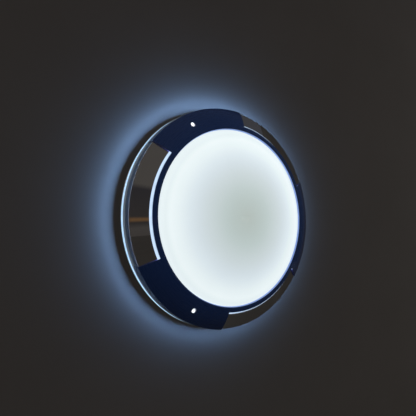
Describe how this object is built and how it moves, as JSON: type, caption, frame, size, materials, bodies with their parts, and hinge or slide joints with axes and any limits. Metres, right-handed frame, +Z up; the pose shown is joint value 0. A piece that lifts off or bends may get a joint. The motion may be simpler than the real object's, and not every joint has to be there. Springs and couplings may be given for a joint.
{
  "type": "lighted advertising sign",
  "caption": "Round wall sign with a lit opal dome face, a glossy navy fascia with recessed mirror windows, a lit rim that throws a halo on the wall, and a hang-on cleat",
  "frame": {"origin": "centre of the wall cleat's four fixing holes, on the wall plane", "axes": "+Z up, the sign faces -Y, +Y goes into the wall, +X to the right of a viewer in front"},
  "size_m": [0.5049, 0.1115, 0.505],
  "materials": {
    "zinc_steel": "zinc plated",
    "rivet": "satin",
    "black_tray": "satin black powder coat",
    "rubber": "matte",
    "white_board": "white solder mask",
    "led": "lit cool white",
    "rim_opal": "lit opal, cool white",
    "white_pan": "matte white",
    "post_alu": "satin",
    "screw_steel": "bright zinc",
    "driver_case": "moulded",
    "terminal_plastic": "moulded",
    "stud_brass": "bright",
    "lead_sheath": "white sheath",
    "hoop_alu": "satin anodised, blue grey",
    "carrier_opal": "opal",
    "edge_lit": "clear acrylic with lit cut edges",
    "navy": "high gloss navy",
    "mirror": "mirror",
    "pin_opal": "lit opal",
    "face_opal": "lit opal, white"
  },
  "bodies": {
    "wall_mount": {"wall_cleat": "zinc_steel"},
    "sign_body": {"back_tray": "black_tray", "hanger_cleat": "zinc_steel", "hanger_rivets": "rivet", "wall_bumpers": "rubber", "cord_grommet": "rubber", "rim_led_strip": "white_board", "rim_led_chips": "led", "rim_diffuser": "rim_opal", "grip_band": "rubber", "reflector_pan": "white_pan", "reflector_posts": "post_alu", "reflector_screws": "screw_steel", "face_led_board": "white_board", "face_led_chips": "led", "board_screws": "screw_steel", "led_driver": "driver_case", "driver_screws": "screw_steel", "terminal_block": "terminal_plastic", "earth_stud": "stud_brass", "lead_face": "lead_sheath", "lead_rim": "lead_sheath", "lead_mains": "lead_sheath"},
    "front_frame": {"rim_band": "hoop_alu", "carrier_ring": "carrier_opal", "fascia_core": "edge_lit", "fascia_skin": "navy", "mirror_upper_right": "mirror", "mirror_left": "mirror", "mirror_lower_right": "mirror", "light_pins": "pin_opal", "dome_face": "face_opal", "face_gasket": "rubber", "clamp_ring": "post_alu", "clamp_screws": "screw_steel"}
  },
  "joints": [
    {"name": "lift_off", "type": "slide", "parent": "wall_mount", "child": "sign_body", "axis": [0, 0, 1], "range_m": [0, 0.012]},
    {"name": "front_pull", "type": "slide", "parent": "sign_body", "child": "front_frame", "axis": [0, -1, 0], "range_m": [0, 0.06]}
  ]
}
